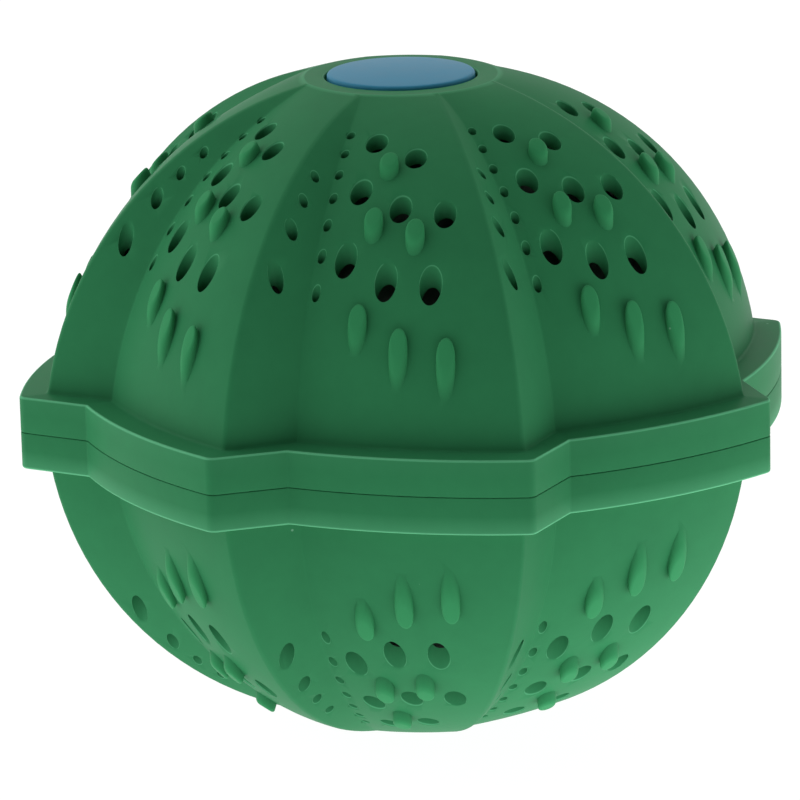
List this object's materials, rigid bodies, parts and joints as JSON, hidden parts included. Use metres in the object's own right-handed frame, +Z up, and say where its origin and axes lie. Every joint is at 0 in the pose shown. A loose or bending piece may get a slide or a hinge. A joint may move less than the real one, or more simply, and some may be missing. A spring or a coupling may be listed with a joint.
{
  "type": "laundry ball",
  "caption": "Ribbed soft ball in halves over a slotted cage, with chambers of loose ceramic beads inside and a flush cap at each pole.",
  "frame": {"origin": "on the surface that the ball stands on, under its axis", "axes": "+Z up along the axis through both caps; the side seen in the picture faces -Y, with +X to its right"},
  "size_m": [0.0958, 0.0958, 0.0826],
  "materials": {
    "green_rubber": "satin moulded thermoplastic rubber",
    "blue_plastic": "smooth satin plastic",
    "cage_plastic": "smooth satin plastic",
    "natural_plastic": "unpigmented moulded plastic",
    "ferrite": "ground ferrite",
    "white_ceramic": "unglazed",
    "grey_ceramic": "unglazed",
    "clay_ceramic": "unglazed",
    "sand_ceramic": "unglazed"
  },
  "bodies": {
    "lower_half": {"lower_shell": "green_rubber", "lower_cap": "blue_plastic", "lower_cage": "cage_plastic", "divider": "natural_plastic", "lower_magnet": "ferrite", "upper_magnet": "ferrite"},
    "cage_top": {"upper_cage": "cage_plastic"},
    "shell_top": {"upper_shell": "green_rubber", "upper_cap": "blue_plastic"},
    "white_beads": {"white_bead_1": "white_ceramic", "white_bead_2": "white_ceramic", "white_bead_3": "white_ceramic", "white_bead_4": "white_ceramic", "white_bead_5": "white_ceramic", "white_bead_6": "white_ceramic", "white_bead_7": "white_ceramic", "white_bead_8": "white_ceramic"},
    "grey_beads": {"grey_bead_1": "grey_ceramic", "grey_bead_2": "grey_ceramic", "grey_bead_3": "grey_ceramic", "grey_bead_4": "grey_ceramic", "grey_bead_5": "grey_ceramic", "grey_bead_6": "grey_ceramic", "grey_bead_7": "grey_ceramic", "grey_bead_8": "grey_ceramic"},
    "clay_beads": {"clay_bead_1": "clay_ceramic", "clay_bead_2": "clay_ceramic", "clay_bead_3": "clay_ceramic", "clay_bead_4": "clay_ceramic", "clay_bead_5": "clay_ceramic", "clay_bead_6": "clay_ceramic", "clay_bead_7": "clay_ceramic", "clay_bead_8": "clay_ceramic"},
    "sand_beads": {"sand_bead_1": "sand_ceramic", "sand_bead_2": "sand_ceramic", "sand_bead_3": "sand_ceramic", "sand_bead_4": "sand_ceramic", "sand_bead_5": "sand_ceramic", "sand_bead_6": "sand_ceramic", "sand_bead_7": "sand_ceramic", "sand_bead_8": "sand_ceramic"}
  },
  "joints": [
    {"name": "cage_lift", "type": "slide", "parent": "lower_half", "child": "cage_top", "axis": [0, 0, 1], "range_m": [0, 0.045]},
    {"name": "shell_lift", "type": "slide", "parent": "cage_top", "child": "shell_top", "axis": [0, 0, 1], "range_m": [0, 0.045]},
    {"name": "white_rattle", "type": "slide", "parent": "lower_half", "child": "white_beads", "axis": [0, 0, 1], "range_m": [0, 0.025]},
    {"name": "grey_rattle", "type": "slide", "parent": "lower_half", "child": "grey_beads", "axis": [0, 0, 1], "range_m": [0, 0.025]},
    {"name": "clay_rattle", "type": "slide", "parent": "lower_half", "child": "clay_beads", "axis": [0, 0, 1], "range_m": [0, 0.025]},
    {"name": "sand_rattle", "type": "slide", "parent": "lower_half", "child": "sand_beads", "axis": [0, 0, 1], "range_m": [0, 0.025]}
  ]
}
